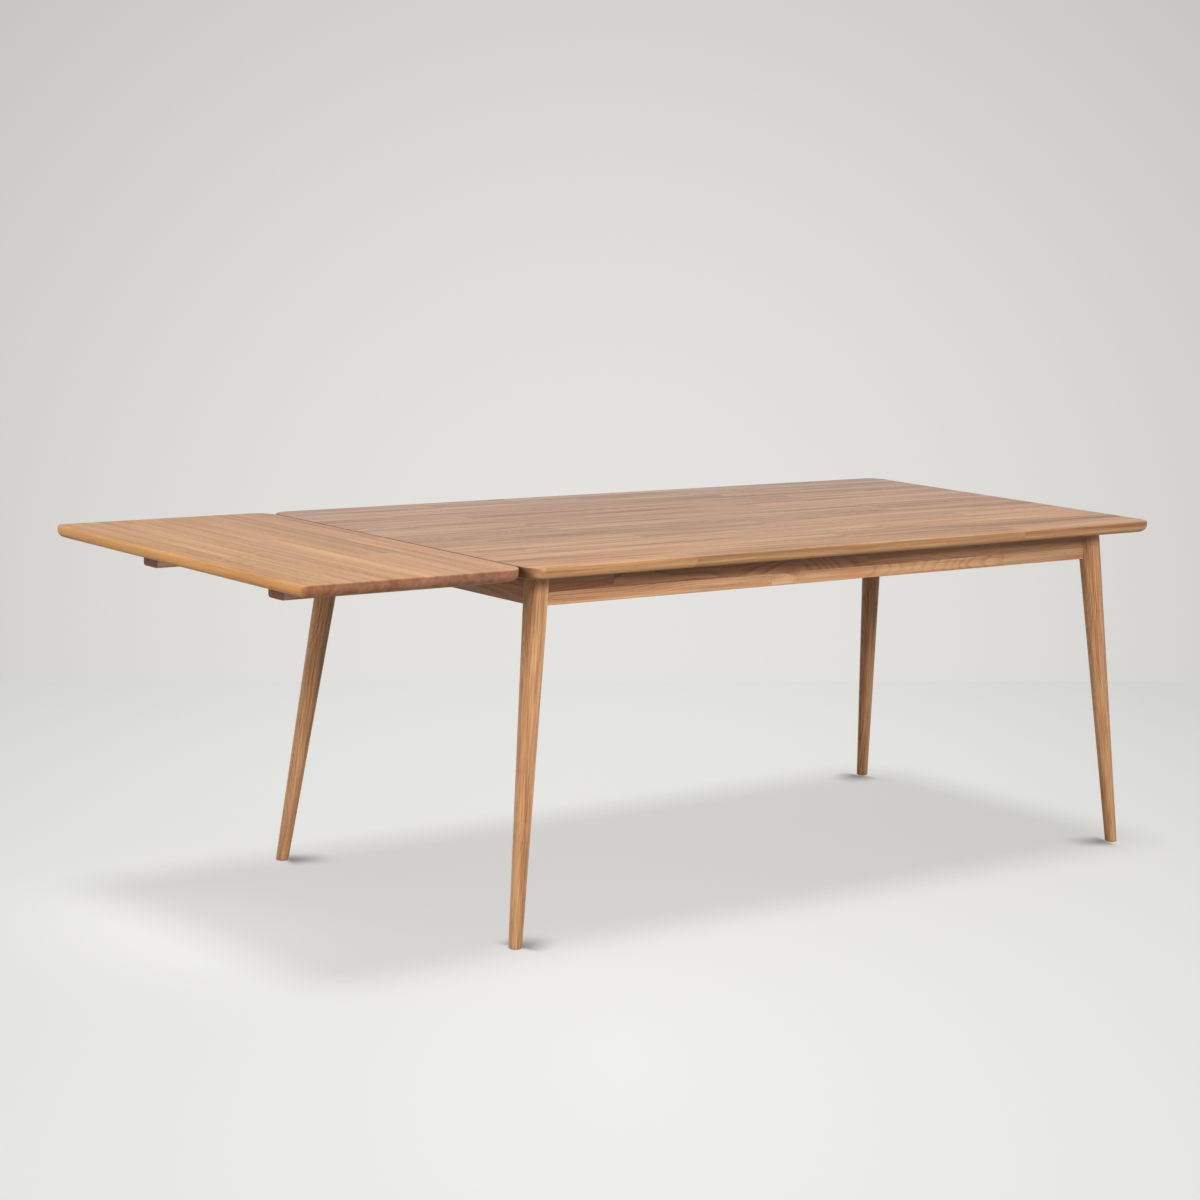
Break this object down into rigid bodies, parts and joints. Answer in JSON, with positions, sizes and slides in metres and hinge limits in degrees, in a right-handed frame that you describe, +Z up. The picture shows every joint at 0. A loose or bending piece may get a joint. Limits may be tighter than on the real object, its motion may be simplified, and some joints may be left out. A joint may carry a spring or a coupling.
{
  "type": "extending dining table",
  "caption": "Oak dining table on splayed round legs, with a loose extension leaf at one end that rests on pull-out bearers.",
  "frame": {"origin": "on the floor, under the middle of the table with its leaf in place", "axes": "+X along the table, away from the leaf; +Y across it, towards the back; +Z up"},
  "size_m": [2.306, 0.9, 0.75],
  "materials": {
    "oak_top": "oiled, satin",
    "oak_leaf": "oiled, satin",
    "oak_leg": "oiled, satin",
    "oak_apron": "oiled, satin",
    "oak_bearer": "oiled, satin",
    "beech": "bare, fine sawn",
    "zinc_steel": "zinc plated",
    "nylon": "moulded, matt"
  },
  "bodies": {
    "table": {"main_top": "oak_top", "front_left_leg": "oak_leg", "front_right_leg": "oak_leg", "back_left_leg": "oak_leg", "back_right_leg": "oak_leg", "foot_glides": "nylon", "front_apron": "oak_apron", "back_apron": "oak_apron", "left_end_apron": "oak_apron", "right_end_apron": "oak_apron", "guide_rail": "oak_apron", "stop_rail": "oak_apron", "front_left_corner_block": "beech", "front_right_corner_block": "beech", "back_left_corner_block": "beech", "back_right_corner_block": "beech", "hanger_bolts": "zinc_steel", "bolt_washers": "zinc_steel", "bolt_nuts": "zinc_steel", "apron_dowels": "beech", "rail_dowels": "beech", "block_screws": "zinc_steel", "top_clips": "zinc_steel", "clip_screws": "zinc_steel"},
    "leaf": {"extension_leaf": "oak_leaf", "leaf_pins": "beech"},
    "front_bearer": {"front_bearer": "oak_bearer", "front_bearer_stop": "beech"},
    "back_bearer": {"back_bearer": "oak_bearer", "back_bearer_stop": "beech"}
  },
  "joints": [
    {"name": "leaf_slide", "type": "slide", "parent": "table", "child": "leaf", "axis": [-1, 0, 0], "range_m": [0, 0.15]},
    {"name": "front_bearer_slide", "type": "slide", "parent": "table", "child": "front_bearer", "axis": [1, 0, 0], "range_m": [0, 0.499]},
    {"name": "back_bearer_slide", "type": "slide", "parent": "table", "child": "back_bearer", "axis": [1, 0, 0], "range_m": [0, 0.499]}
  ]
}
